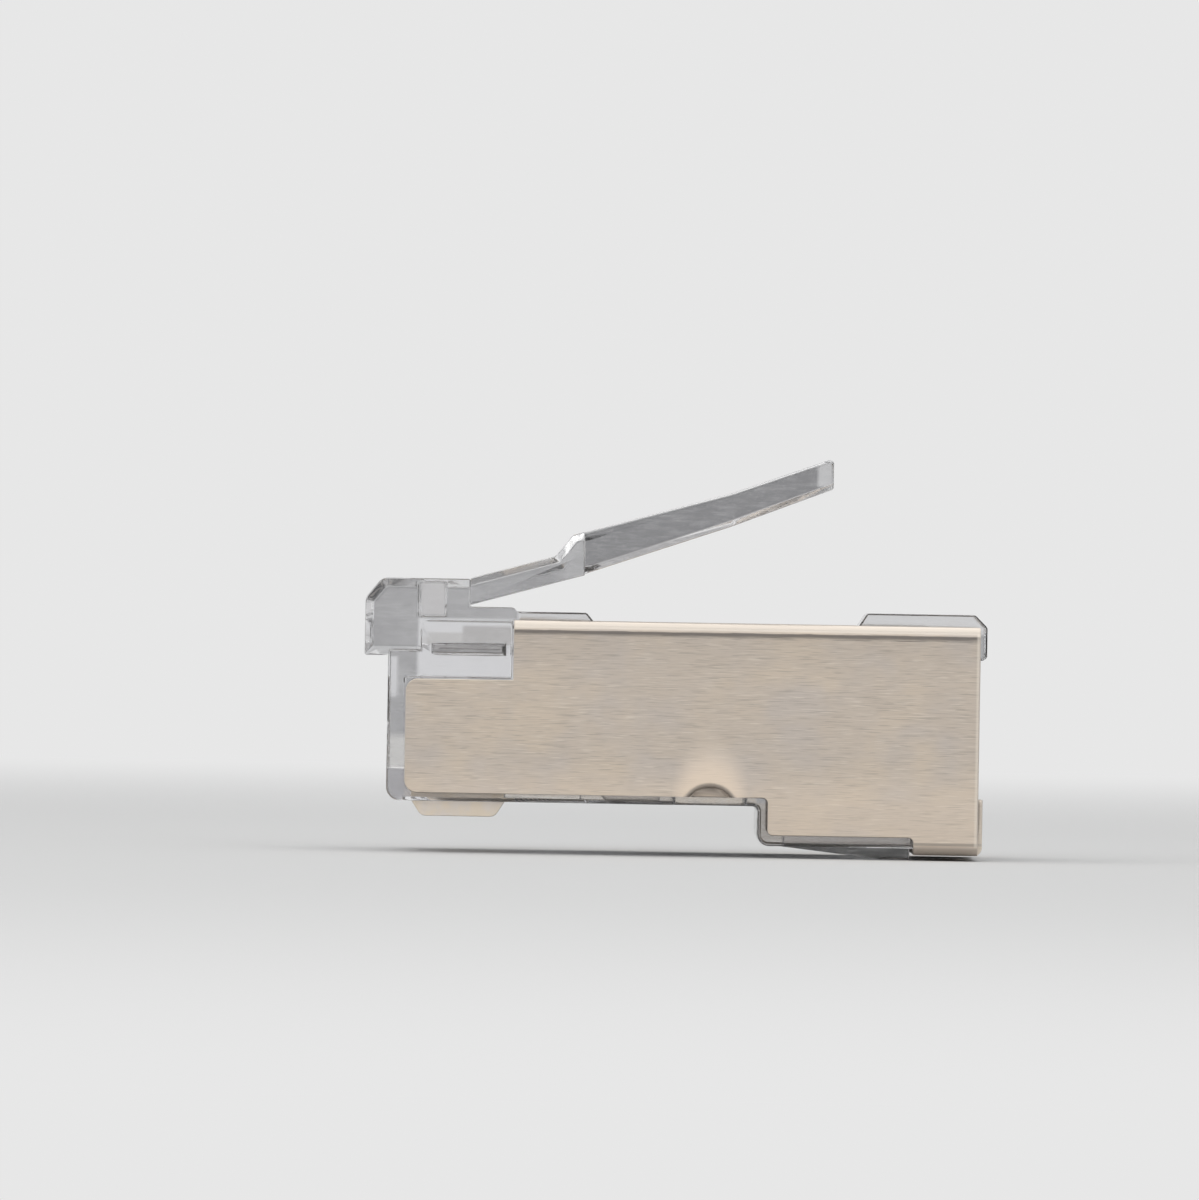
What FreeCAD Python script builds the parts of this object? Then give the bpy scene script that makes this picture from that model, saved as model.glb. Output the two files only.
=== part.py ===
import FreeCAD, Part
import math
import os
import Sketcher

# Shielded eight-way modular plug for twisted-pair cable.
# Frame: X runs from the mating face to the cable end, Y across the plug, Z up towards the latch.
# The origin is the centre of the housing's mating face.

SIZES = {
    # Envelope of the plug body
    "body_width": 11.68,
    "body_height": 6.60,
    "body_length": 21.36,
    "corner_radius": 0.50,
    # Moulded housing
    "front_inset": 0.04,
    "brow_height": 2.15,
    "brow_depth": 1.18,
    "shoulder_drop": 0.06,
    "shoulder_radius": 0.25,
    "step_place": 13.43,
    "step_radius": 0.18,
    "belly_drop": 1.43,
    "belly_radius": 0.45,
    # Grooves along the front shoulders
    "groove_front": 1.57,
    "groove_rear": 4.20,
    "groove_top": 2.40,
    "groove_height": 0.36,
    "groove_depth": 0.35,
    # Nose block that carries the latch
    "nose_width": 6.00,
    "nose_reach": 0.90,
    "nose_top": 4.76,
    "nose_bottom": 1.94,
    "nose_rear": 2.90,
    "nose_slope_run": 0.60,
    "nose_slope_drop": 0.75,
    "nose_radius": 0.50,
    "nose_bevel": 0.33,
    "nose_relief_front": 1.03,
    "nose_relief_length": 1.01,
    "nose_relief_floor": 3.35,
    "nose_relief_depth": 0.20,
    # Stop ledge under the latch and the low rib behind it
    "ledge_top": 3.75,
    "ledge_rear": 4.60,
    "ledge_radius": 0.20,
    "rib_width": 4.20,
    "rib_rear": 7.60,
    "rib_top": 3.60,
    # Raised pad at the cable end
    "pad_width": 6.00,
    "pad_front": 16.90,
    "pad_top": 3.75,
    "pad_slope": 0.45,
    "lip_reach": 0.37,
    "lip_bottom": 2.20,
    # Cable cavity and conductor channels
    "cavity_width": 7.80,
    "cavity_top": 2.10,
    "cavity_bottom": -3.45,
    "cavity_radius": 1.00,
    "funnel_rear": 15.00,
    "funnel_front": 9.60,
    "tray_width": 8.30,
    "tray_height": 1.20,
    "channel_level": -0.90,
    "channel_radius": 0.46,
    "channel_front": 0.75,
    # Strain-relief bars, moulded on and still open
    "wire_window_front": 7.00,
    "wire_window_rear": 10.40,
    "wire_window_width": 8.60,
    "wire_bar_rear": 9.90,
    "wire_bar_width": 8.00,
    "wire_bar_depth": 0.95,
    "wire_bar_hinge": 0.40,
    "wire_bar_recess": 0.10,
    "jacket_window_front": 14.40,
    "jacket_window_rear": 19.20,
    "jacket_window_width": 6.80,
    "jacket_bar_rear": 19.02,
    "jacket_bar_flat": 1.05,
    "jacket_bar_width": 6.20,
    "jacket_bar_hinge": 0.40,
    "jacket_bar_proud": 0.44,
    "jacket_bar_depth": 1.00,
    "jacket_tooth": 0.55,
    # Contact blades
    "contact_pitch": 1.016,
    "contact_thickness": 0.35,
    "contact_front": 0.89,
    "contact_length": 3.40,
    "contact_proud": 0.56,
    "contact_slope": 0.36,
    "contact_radius": 0.34,
    "contact_shoulder": -2.30,
    "contact_tine_gap": 0.06,
    "contact_tine_width": 0.62,
    "contact_tine_taper": 0.16,
    "contact_clearance": 0.02,
    "slot_mouth": 1.20,
    # Shield, folded from one sheet
    "sheet": 0.22,
    "sheet_gap": 0.02,
    "sheet_bend": 0.38,
    "shield_front": 0.65,
    "shield_overhang": 0.07,
    "shield_lift": 0.30,
    "shield_corner": 0.45,
    "corner_cut_rear": 4.53,
    "corner_cut_drop": 2.17,
    "corner_cut_gap": 0.05,
    "shield_step_margin": 0.38,
    "shield_edge_margin": 0.38,
    "shield_step_radius": 0.20,
    "strap_front": 19.10,
    "strap_seam": 0.20,
    "cutout_gap": 0.10,
    "cutout_radius": 0.25,
    "dent_place": 11.72,
    "dent_radius": 1.18,
    "dent_rise": 0.58,
    "dent_depth": 0.35,
    "dent_rim_radius": 0.20,
    "dent_room": 0.12,
    "tab_inner": 4.15,
    "tab_width": 1.10,
    "tab_height": 2.04,
    "tab_bend": 0.30,
    # Latch lever
    "latch_width": 6.00,
    "hinge_gap": 0.05,
    "hinge_height": 3.81,
    "neck_thickness": 0.98,
    "neck_slope": 0.28,
    "neck_length": 3.04,
    "ramp_run": 0.61,
    "ramp_rise": 0.77,
    "stop_length": 0.45,
    "neck_bevel": 0.28,
    "lever_width": 3.20,
    "lever_slope": 0.2825,
    "lever_bend": 5.77,
    "lever_tip": 3.70,
    "lever_tip_slope": 0.36,
    "lever_root_depth": 1.56,
    "lever_bend_depth": 1.22,
    "lever_tip_depth": 1.13,
    "lever_tip_radius": 0.15,
    "lever_bevel": 0.14,
    "lever_lower_bevel": 0.24,
}

CONTACT_COUNT = 8
TINE_COUNT = 3
MARGIN = 1.0          # how far a cutting outline runs past the solid that it cuts
NEAR = 1e-4           # two positions closer than this are the same


class Length:
    """A length worked out from the sheet: its value, and the expression that keeps it bound."""

    def __init__(self, value, text):
        self.value = value
        self.text = text

    @staticmethod
    def of(other):
        return other if isinstance(other, Length) else Length(float(other), repr(float(other)))

    def __add__(self, other):
        other = Length.of(other)
        return Length(self.value + other.value, f"({self.text} + {other.text})")

    def __sub__(self, other):
        other = Length.of(other)
        return Length(self.value - other.value, f"({self.text} - {other.text})")

    def __mul__(self, other):
        other = Length.of(other)
        return Length(self.value * other.value, f"({self.text} * {other.text})")

    def __truediv__(self, other):
        other = Length.of(other)
        return Length(self.value / other.value, f"({self.text} / {other.text})")

    def __neg__(self):
        return Length(-self.value, f"(0 - {self.text})")

    def __radd__(self, other):
        return Length.of(other) + self

    def __rsub__(self, other):
        return Length.of(other) - self

    def __rmul__(self, other):
        return Length.of(other) * self


class Sheet:
    """The spreadsheet of driving sizes, read back as lengths by their aliases."""

    def __init__(self, doc):
        table = doc.addObject("Spreadsheet::Sheet", "Sizes")
        for row, (name, value) in enumerate(SIZES.items(), start=1):
            table.set(f"A{row}", name)
            table.set(f"B{row}", str(value))
            table.setAlias(f"B{row}", name)

    def __getattr__(self, name):
        return Length(SIZES[name], f"Sizes.{name}")


doc = FreeCAD.newDocument("ModularPlug")
size = Sheet(doc)
doc.recompute()


# Sketching -------------------------------------------------------------------------------------

def bind(obj, prop, length):
    """Ties a property to the sheet."""
    obj.setExpression(prop, Length.of(length).text)


def new_body(name):
    body = doc.addObject("PartDesign::Body", name)
    body.Label = name
    return body


def origin_part(body, role):
    return next(part for part in body.Origin.OriginFeatures if part.Role == role)


def new_sketch(body, name, plane, offset=0.0):
    """A sketch on one of the body's own planes, moved along the plane's normal by offset."""
    sketch = body.newObject("Sketcher::SketchObject", name)
    sketch.AttachmentSupport = [(origin_part(body, plane), "")]
    sketch.MapMode = "FlatFace"
    bind(sketch, "AttachmentOffset.Base.z", offset)
    return sketch


def place_point(sketch, geometry, end, across, up):
    """Fixes a point of the sketch by its two distances from the sketch's origin."""
    for kind, length in (("DistanceX", across), ("DistanceY", up)):
        length = Length.of(length)
        index = sketch.addConstraint(Sketcher.Constraint(kind, -1, 1, geometry, end, length.value))
        bind(sketch, f"Constraints[{index}]", length)


def short_arc(centre, radius, first, second):
    """The shorter arc between two points, drawn anticlockwise."""
    angles = [math.atan2(point.y - centre.y, point.x - centre.x) for point in (first, second)]
    if (angles[1] - angles[0]) % (2 * math.pi) > math.pi:
        angles.reverse()
    whole = Part.Circle(centre, FreeCAD.Vector(0, 0, 1), radius)
    return Part.ArcOfCircle(whole, angles[0], angles[1])


def outline(sketch, corners):
    """A closed outline. Each corner is (across, up) or (across, up, radius) for a rounded one."""
    points = [FreeCAD.Vector(Length.of(c[0]).value, Length.of(c[1]).value, 0) for c in corners]
    count = len(points)
    starts, ends, arcs = list(points), list(points), {}
    for i, corner in enumerate(corners):
        if len(corner) == 2:
            continue
        radius = corner[2].value
        back = (points[i - 1] - points[i]).normalize()
        ahead = (points[(i + 1) % count] - points[i]).normalize()
        middle = (back + ahead).normalize()
        reach = radius / (back.cross(ahead)).Length * (1 + back.dot(ahead))
        centre = points[i] + middle * (reach ** 2 + radius ** 2) ** 0.5
        ends[i] = points[i] + back * reach
        starts[i] = points[i] + ahead * reach
        arcs[i] = short_arc(centre, radius, ends[i], starts[i])
    lines = [Part.LineSegment(starts[i], ends[(i + 1) % count]) for i in range(count)]
    first = sketch.addGeometry(lines, False)[0]
    for i, corner in enumerate(corners):
        after = first + i
        before = first + (i - 1) % count
        if i not in arcs:
            sketch.addConstraint(Sketcher.Constraint("Coincident", before, 2, after, 1))
            place_point(sketch, after, 1, corner[0], corner[1])
            continue
        arc = sketch.addGeometry(arcs[i], False)
        forward = sketch.Geometry[arc].StartPoint.isEqual(ends[i], NEAR)
        entry, leave = (1, 2) if forward else (2, 1)
        corner_point = sketch.addGeometry(Part.Point(points[i]), True)
        place_point(sketch, corner_point, 1, corner[0], corner[1])
        sketch.addConstraint([
            Sketcher.Constraint("Tangent", before, 2, arc, entry),
            Sketcher.Constraint("Tangent", arc, leave, after, 1),
            Sketcher.Constraint("PointOnObject", corner_point, 1, before),
            Sketcher.Constraint("PointOnObject", corner_point, 1, after),
        ])
        index = sketch.addConstraint(Sketcher.Constraint("Radius", arc, corner[2].value))
        bind(sketch, f"Constraints[{index}]", corner[2])
    return sketch


def box_corners(low, high, radius=None):
    """Corners of a rectangle between two opposite corners."""
    corners = [(low[0], low[1]), (high[0], low[1]), (high[0], high[1]), (low[0], high[1])]
    return corners if radius is None else [(*corner, radius) for corner in corners]


def circle(sketch, across, up, radius):
    centre = FreeCAD.Vector(across.value, up.value, 0)
    ring = sketch.addGeometry(Part.Circle(centre, FreeCAD.Vector(0, 0, 1), radius.value), False)
    place_point(sketch, ring, 3, across, up)
    index = sketch.addConstraint(Sketcher.Constraint("Radius", ring, radius.value))
    bind(sketch, f"Constraints[{index}]", radius)
    return sketch


# Features --------------------------------------------------------------------------------------

def volume(body):
    return body.Shape.Volume


def extrude(body, kind, name, sketch, length, symmetric, reverse):
    feature = body.newObject(kind, name)
    feature.Profile = sketch
    feature.SideType = "Symmetric" if symmetric else "One side"
    feature.Reversed = reverse
    bind(feature, "Length", length)
    before = 0 if body.Tip is None or feature.BaseFeature is None else feature.BaseFeature.Shape.Volume
    doc.recompute()
    change = volume(body) - before
    if change * (1 if kind.endswith("Pad") else -1) <= 0:
        raise ValueError(f"{name} changes nothing")
    return feature


def pad(body, name, sketch, length, symmetric=True, reverse=False):
    return extrude(body, "PartDesign::Pad", name, sketch, length, symmetric, reverse)


def pocket(body, name, sketch, length, symmetric=True, reverse=False):
    return extrude(body, "PartDesign::Pocket", name, sketch, length, symmetric, reverse)


def side_pad(body, name, corners, width):
    """Pads a side view evenly to both sides of the middle plane."""
    return pad(body, name, outline(new_sketch(body, f"{name}_outline", "XZ_Plane"), corners), width)


def side_pocket(body, name, corners, width):
    """Cuts a side view evenly to both sides of the middle plane."""
    return pocket(body, name, outline(new_sketch(body, f"{name}_outline", "XZ_Plane"), corners), width)


def cut_both_flanks(body, name, corners, start, length):
    """Cuts a section and its mirror image from X = start over a length."""
    sketch = new_sketch(body, f"{name}_outline", "YZ_Plane", start)
    outline(sketch, corners)
    outline(sketch, [(-corner[0], *corner[1:]) for corner in corners])
    return pocket(body, name, sketch, length, symmetric=False, reverse=True)


def mirror(body, name, originals):
    feature = body.newObject("PartDesign::Mirrored", name)
    feature.Originals = originals
    feature.MirrorPlane = (origin_part(body, "XZ_Plane"), [""])
    body.Tip = feature
    doc.recompute()
    return feature


def repeat_across(body, name, original, count, pitch):
    """Repeats a feature across the plug, from the first contact's place to the last."""
    feature = body.newObject("PartDesign::LinearPattern", name)
    feature.Originals = [original]
    feature.Direction = (origin_part(body, "Y_Axis"), [""])
    feature.Mode = "Extent"
    feature.Occurrences = count
    bind(feature, "Length", pitch * (count - 1))
    body.Tip = feature
    doc.recompute()
    return feature


def edges_where(body, test, across):
    """Names of the edges that run across the plug, or in a flank, and whose ends pass the test."""
    names = []
    for number, edge in enumerate(body.Shape.Edges, start=1):
        ends = [vertex.Point for vertex in edge.Vertexes]
        if len(ends) != 2 or (abs(ends[0].y - ends[1].y) > NEAR) != across:
            continue
        if all(test(point) for point in ends):
            names.append(f"Edge{number}")
    return names


def closed_edges(body, test):
    """Names of the full circles whose centres pass the test."""
    return [f"Edge{number}" for number, edge in enumerate(body.Shape.Edges, start=1)
            if edge.Closed and test(edge.CenterOfMass)]


def dress(body, kind, name, prop, amount, edges):
    """Adds a fillet or chamfer to the named edges."""
    if not edges:
        raise ValueError(f"{name} finds no edge")
    feature = body.newObject(kind, name)
    feature.Base = (feature.BaseFeature, edges)
    bind(feature, prop, amount)
    doc.recompute()
    return feature


def chamfer(body, name, amount, test, across=False):
    return dress(body, "PartDesign::Chamfer", name, "Size", amount, edges_where(body, test, across))


def fillet(body, name, amount, test, across=False):
    return dress(body, "PartDesign::Fillet", name, "Radius", amount, edges_where(body, test, across))


def same(value, length):
    return abs(value - Length.of(length).value) < NEAR


# Levels that several pieces share --------------------------------------------------------------

roof = size.body_height / 2
floor = -size.body_height / 2
cover = size.sheet + size.sheet_gap
deck = roof - cover
flank = size.body_width / 2 - cover
shoulder_top = roof - size.shoulder_drop
belly = floor - size.belly_drop
first_contact = -size.contact_pitch * ((CONTACT_COUNT - 1) / 2)
channel_floor = size.channel_level - size.channel_radius
hinge_place = size.nose_rear + size.hinge_gap
hinge_top = size.hinge_height + size.neck_thickness


# Housing: clear moulding with the nose block, cavity, slots and strain-relief bars ---------------

def add_housing_block(body):
    """The block that the shield wraps, with the deeper belly at the cable end."""
    side_pad(body, "Block", [
        (Length.of(0), floor, size.corner_radius),
        (size.step_place, floor, size.step_radius),
        (size.step_place, belly, size.belly_radius),
        (size.body_length, belly, size.tab_bend - size.sheet),
        (size.body_length, deck),
        (size.brow_depth, deck),
        (size.brow_depth, size.brow_height),
        (Length.of(0), size.brow_height),
    ], flank * 2)
    fillet(body, "Block_edges", size.sheet_bend - size.sheet,
           lambda p: same(abs(p.y), flank) and (same(p.z, deck) or same(p.z, belly)))


def add_front_collar(body):
    """The wider front that the shield's edges stop against, with the two bare shoulders."""
    collar_rear = size.shield_front - size.corner_cut_gap
    sill = roof - size.corner_cut_drop + size.corner_cut_gap
    shoulder_rear = size.corner_cut_rear - size.corner_cut_gap
    side_pad(body, "Collar", [
        (Length.of(0), floor, size.corner_radius),
        (collar_rear, floor),
        (collar_rear, sill),
        (shoulder_rear, sill),
        (shoulder_rear, shoulder_top),
        (size.brow_depth, shoulder_top, size.shoulder_radius),
        (size.brow_depth, size.brow_height),
        (Length.of(0), size.brow_height),
    ], size.body_width - size.front_inset * 2)


def add_nose(body):
    """The block that reaches forward over the mating face, with the latch's stop ledge."""
    slope_foot = size.nose_top - size.nose_slope_drop
    side_pad(body, "Nose", [
        (-size.nose_reach, size.nose_bottom),
        (size.ledge_rear, size.nose_bottom),
        (size.ledge_rear, size.ledge_top, size.ledge_radius),
        (size.nose_rear, size.ledge_top),
        (size.nose_rear, size.nose_top),
        (size.nose_slope_run - size.nose_reach, size.nose_top, size.nose_radius),
        (-size.nose_reach, slope_foot, size.nose_radius),
    ], size.nose_width)
    half = size.nose_width / 2
    shoulder = max(shoulder_top.value, size.ledge_top.value) + NEAR

    def on_bevel(point):
        over_roof = point.z > shoulder and not same(point.x, size.nose_rear)
        in_front = same(point.x, -size.nose_reach)
        below = point.x < NEAR and same(point.z, size.nose_bottom)
        top_corner = same(point.x, size.nose_rear) and same(point.z, size.nose_top)
        return same(abs(point.y), half) and (over_roof or in_front or below or top_corner)

    chamfer(body, "Nose_bevel", size.nose_bevel, on_bevel)


def add_rib(body):
    """The low rib behind the ledge, in the shield's front cut-out."""
    side_pad(body, "Rib", [
        (size.ledge_rear - size.ledge_radius, size.nose_bottom),
        (size.rib_rear, size.nose_bottom),
        (size.rib_rear, deck),
        (size.rib_rear - size.pad_slope, size.rib_top),
        (size.ledge_rear - size.ledge_radius, size.rib_top),
    ], size.rib_width)


def add_cable_end_pad(body):
    """The raised pad over the cable entry, with a sloped lip past the shield's rear edge."""
    lip = size.body_length + size.lip_reach
    side_pad(body, "Pad", [
        (size.pad_front, size.nose_bottom),
        (size.body_length, size.nose_bottom),
        (lip, size.lip_bottom),
        (lip, size.pad_top - size.pad_slope),
        (lip - size.pad_slope, size.pad_top),
        (size.pad_front + size.pad_slope, size.pad_top),
        (size.pad_front, deck),
    ], size.pad_width)


def cut_reliefs(body):
    """Grooves in the shoulders, recesses in the nose's flanks and the shield's dent pockets."""
    front_flank = size.body_width / 2 - size.front_inset
    cut_both_flanks(body, "Shoulder_groove", box_corners(
        (front_flank - size.groove_depth, size.groove_top - size.groove_height),
        (front_flank + MARGIN, size.groove_top),
    ), size.groove_front, size.groove_rear - size.groove_front)
    nose_flank = size.nose_width / 2
    cut_both_flanks(body, "Nose_relief", box_corners(
        (nose_flank - size.nose_relief_depth, size.nose_relief_floor),
        (nose_flank + MARGIN, size.nose_top + MARGIN),
    ), size.nose_relief_front, size.nose_relief_length)
    dent_floor = size.body_width / 2 - size.dent_depth - size.sheet - size.dent_room
    reach = size.dent_radius + size.dent_room
    cut_both_flanks(body, "Dent_pocket", box_corners(
        (dent_floor, floor - MARGIN),
        (size.body_width / 2 + MARGIN, floor + size.shield_lift + size.dent_rise + size.dent_room),
    ), size.dent_place - reach, reach * 2)


def cut_cavity(body):
    """The cable's mouth, the funnel down to the wires and their eight channels."""
    half = size.cavity_width / 2
    mouth = new_sketch(body, "Mouth_outline", "YZ_Plane", size.funnel_rear)
    corners = box_corners((-half, size.cavity_bottom), (half, size.cavity_top), size.cavity_radius)
    outline(mouth, corners)
    pocket(body, "Mouth", mouth, size.body_length + size.lip_reach + MARGIN - size.funnel_rear,
           symmetric=False, reverse=True)
    wide = new_sketch(body, "Funnel_rear_outline", "YZ_Plane", size.funnel_rear)
    outline(wide, corners)
    narrow = new_sketch(body, "Funnel_front_outline", "YZ_Plane", size.funnel_front)
    tray_half = size.tray_width / 2
    tray_low = size.channel_level - size.tray_height / 2
    tray_high = size.channel_level + size.tray_height / 2
    outline(narrow, box_corners((-tray_half, tray_low), (tray_half, tray_high), size.cutout_radius))
    funnel = body.newObject("PartDesign::SubtractiveLoft", "Funnel")
    funnel.Profile = wide
    funnel.Sections = [narrow]
    doc.recompute()
    channel = circle(new_sketch(body, "Channel_outline", "YZ_Plane", size.channel_front),
                     first_contact, size.channel_level, size.channel_radius)
    first = pocket(body, "Channel", channel, size.funnel_front - size.channel_front,
                   symmetric=False, reverse=True)
    repeat_across(body, "Channels", first, CONTACT_COUNT, size.contact_pitch)


def cut_contact_slots(body):
    """Slots that hold the blades, open below and through the mating face to the jack's springs."""
    front = size.contact_front - size.contact_clearance
    rear = size.contact_front + size.contact_length + size.contact_clearance
    sketch = new_sketch(body, "Slot_outline", "XZ_Plane", -first_contact)
    outline(sketch, [
        (Length.of(-MARGIN), floor - MARGIN),
        (rear, floor - MARGIN),
        (rear, size.channel_level),
        (front, size.channel_level),
        (front, floor + size.slot_mouth),
        (Length.of(-MARGIN), floor + size.slot_mouth),
    ])
    first = pocket(body, "Slot", sketch, size.contact_thickness + size.contact_clearance * 2)
    repeat_across(body, "Slots", first, CONTACT_COUNT, size.contact_pitch)


def add_wire_bar(body):
    """The secondary strain relief: a bar hinged at its front in a window below the wires."""
    side_pocket(body, "Wire_window", box_corners(
        (size.wire_window_front, floor - MARGIN),
        (size.wire_window_rear, channel_floor + size.channel_radius / 2),
    ), size.wire_window_width)
    low = floor + size.wire_bar_recess
    high = low + size.wire_bar_depth
    root = size.wire_window_front - size.wire_bar_hinge / 2
    side_pad(body, "Wire_bar", [
        (root, high - size.wire_bar_hinge),
        (size.wire_window_front + size.wire_bar_hinge, high - size.wire_bar_hinge),
        (size.wire_window_front + size.wire_bar_depth, low),
        (size.wire_bar_rear, low),
        (size.wire_bar_rear, high),
        (root, high),
    ], size.wire_bar_width)


def add_jacket_bar(body):
    """The primary strain relief: a toothed bar, hinged at its front, that still stands proud."""
    side_pocket(body, "Jacket_window", box_corners(
        (size.jacket_window_front, belly - MARGIN),
        (size.jacket_window_rear, size.cavity_bottom + size.cavity_radius),
    ), size.jacket_window_width)
    root = size.jacket_window_front - size.jacket_bar_hinge
    tip_low = belly - size.jacket_bar_proud
    tip_high = tip_low + size.jacket_bar_depth
    side_pad(body, "Jacket_bar", [
        (root, belly),
        (size.jacket_bar_rear - size.jacket_bar_flat, tip_low),
        (size.jacket_bar_rear, tip_low),
        (size.jacket_bar_rear, tip_high),
        (size.jacket_bar_rear - size.jacket_tooth, tip_high + size.jacket_tooth),
        (size.jacket_bar_rear - size.jacket_tooth * 2, tip_high),
        (size.jacket_window_front + size.jacket_bar_hinge, belly + size.jacket_bar_hinge),
        (root, belly + size.jacket_bar_hinge),
    ], size.jacket_bar_width)


def build_housing():
    body = new_body("housing")
    add_housing_block(body)
    add_front_collar(body)
    add_nose(body)
    add_rib(body)
    add_cable_end_pad(body)
    cut_reliefs(body)
    cut_cavity(body)
    cut_contact_slots(body)
    add_wire_bar(body)
    add_jacket_bar(body)
    return body


# Latch lever -----------------------------------------------------------------------------------

def build_latch():
    """The lever: a wide neck with its ramp and stop, then the narrow finger with a bend.

    Neck and nose are one moulding that bends between them. The lever turns about the neck's lower
    root edge, so its root face only opens away from the nose as the latch is pressed.
    """
    body = new_body("latch_lever")
    neck_rise = size.neck_length * size.neck_slope
    ramp_foot = hinge_place + size.neck_length
    ramp_top = ramp_foot + size.ramp_run
    stop = ramp_top + size.stop_length
    crest = hinge_top + neck_rise + size.ramp_rise
    stop_top = crest + size.stop_length * size.lever_slope
    stop_reach = size.neck_length + size.ramp_run + size.stop_length
    side_pad(body, "Neck", [
        (hinge_place, size.hinge_height),
        (stop, size.hinge_height + stop_reach * size.neck_slope),
        (stop, stop_top),
        (ramp_top, crest),
        (ramp_foot, hinge_top + neck_rise),
        (hinge_place, hinge_top),
    ], size.latch_width)
    half = size.latch_width / 2
    chamfer(body, "Neck_bevel", size.neck_bevel,
            lambda p: same(abs(p.y), half) and not below_neck(p))
    bend = ramp_top + size.lever_bend
    tip = bend + size.lever_tip
    bend_top = crest + size.lever_bend * size.lever_slope
    tip_top = bend_top + size.lever_tip * size.lever_tip_slope
    side_pad(body, "Finger", [
        (ramp_top, crest - size.lever_root_depth),
        (bend, bend_top - size.lever_bend_depth),
        (tip, tip_top - size.lever_tip_depth),
        (tip, tip_top, size.lever_tip_radius),
        (bend, bend_top),
        (ramp_top, crest),
    ], size.lever_width)
    finger = size.lever_width / 2

    def top_at(place):
        """Level of the finger's top at a place along the plug."""
        if place < bend.value:
            return crest.value + (place - ramp_top.value) * size.lever_slope.value
        return bend_top.value + (place - bend.value) * size.lever_tip_slope.value

    def on_flank(point, upper):
        above_middle = point.z > top_at(point.x) - size.lever_tip_depth.value / 2
        return same(abs(point.y), finger) and above_middle == upper

    chamfer(body, "Finger_lower_bevel", size.lever_lower_bevel, lambda p: on_flank(p, False))
    fillet(body, "Finger_bevel", size.lever_bevel, lambda p: on_flank(p, True))
    return body


def below_neck(point):
    """True on the neck's underside, which stays square."""
    level = size.hinge_height.value + (point.x - hinge_place.value) * size.neck_slope.value
    return same(point.z, level)


# Contacts --------------------------------------------------------------------------------------

def contact_corners():
    """Side view of a blade: rounded working edge below, piercing tines above."""
    front = size.contact_front
    rear = size.contact_front + size.contact_length
    edge = floor - size.contact_proud
    tip = channel_floor - size.contact_tine_gap
    corners = [
        (front + size.contact_slope, edge, size.contact_radius),
        (rear - size.contact_slope, edge, size.contact_radius),
        (rear, floor),
        (rear, size.contact_shoulder),
    ]
    spacing = (size.contact_length - size.contact_tine_width) / (TINE_COUNT - 1)
    for tine in reversed(range(TINE_COUNT)):
        left = front + spacing * tine
        if tine < TINE_COUNT - 1:
            corners.append((left + size.contact_tine_width, size.contact_shoulder))
        corners.append((left + size.contact_tine_width - size.contact_tine_taper, tip))
        corners.append((left + size.contact_tine_taper, tip))
        if tine > 0:
            corners.append((left, size.contact_shoulder))
    corners.append((front, size.contact_shoulder))
    corners.append((front, floor))
    return corners


def build_contact(number):
    """One blade, centred in its own slot."""
    body = new_body(f"contact_{number}")
    side_pad(body, "Blade", contact_corners(), size.contact_thickness)
    bind(body, "Placement.Base.y", first_contact + size.contact_pitch * (number - 1))
    return body


# Shield ----------------------------------------------------------------------------------------

def sleeve_corners():
    """Section of the folded sheet where it goes all the way round, open at the seam below."""
    outer = size.body_width / 2
    inner = outer - size.sheet
    top = roof
    bottom = belly - cover
    seam = size.strap_seam / 2
    inner_bend = size.sheet_bend - size.sheet
    return [
        (seam, bottom),
        (outer, bottom, size.sheet_bend),
        (outer, top, size.sheet_bend),
        (-outer, top, size.sheet_bend),
        (-outer, bottom, size.sheet_bend),
        (-seam, bottom),
        (-seam, bottom + size.sheet),
        (-inner, bottom + size.sheet, inner_bend),
        (-inner, top - size.sheet, inner_bend),
        (inner, top - size.sheet, inner_bend),
        (inner, bottom + size.sheet, inner_bend),
        (seam, bottom + size.sheet),
    ]


def press_dents(body):
    """Half-round dents, pressed in at the lower edges to lock the shield on the housing."""
    wall = size.body_width / 2
    level = floor + size.shield_lift + size.dent_rise - size.dent_radius
    back = new_sketch(body, "Dent_back_outline", "XZ_Plane", -(wall - size.sheet / 2))
    circle(back, size.dent_place, level, size.dent_radius)
    boss = pad(body, "Dent_back", back, size.dent_depth + size.sheet / 2, symmetric=False)
    face = new_sketch(body, "Dent_face_outline", "XZ_Plane", -wall)
    circle(face, size.dent_place, level, size.dent_radius - size.sheet)
    hollow = pocket(body, "Dent_face", face, size.dent_depth, symmetric=False, reverse=True)
    mirror(body, "Dents", [boss, hollow])
    rims = closed_edges(body, lambda p: same(abs(p.y), wall))
    dress(body, "PartDesign::Fillet", "Dent_rims", "Radius", size.dent_rim_radius, rims)


def trim_shield(body):
    """Cuts the blank's outline: lower edges with the step, and the two upper front corners."""
    edge = floor + size.shield_lift
    low_edge = belly + size.shield_edge_margin
    step = size.step_place + size.shield_step_margin
    ahead = size.shield_front - MARGIN
    below = belly - cover - MARGIN
    width = size.body_width + 2 * MARGIN
    side_pocket(body, "Lower_edge", [
        (ahead, edge),
        (step, edge, size.shield_step_radius),
        (step, low_edge, size.shield_step_radius),
        (size.strap_front, low_edge, size.shield_step_radius),
        (size.strap_front, below),
        (ahead, below),
    ], width)
    side_pocket(body, "Corner_cut", box_corners(
        (ahead, roof - size.corner_cut_drop),
        (size.corner_cut_rear, roof + MARGIN),
    ), width)
    levels = (edge, roof - size.corner_cut_drop)
    fillet(body, "Front_corners", size.shield_corner,
           lambda p: same(p.x, size.shield_front) and any(same(p.z, level) for level in levels),
           across=True)


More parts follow.
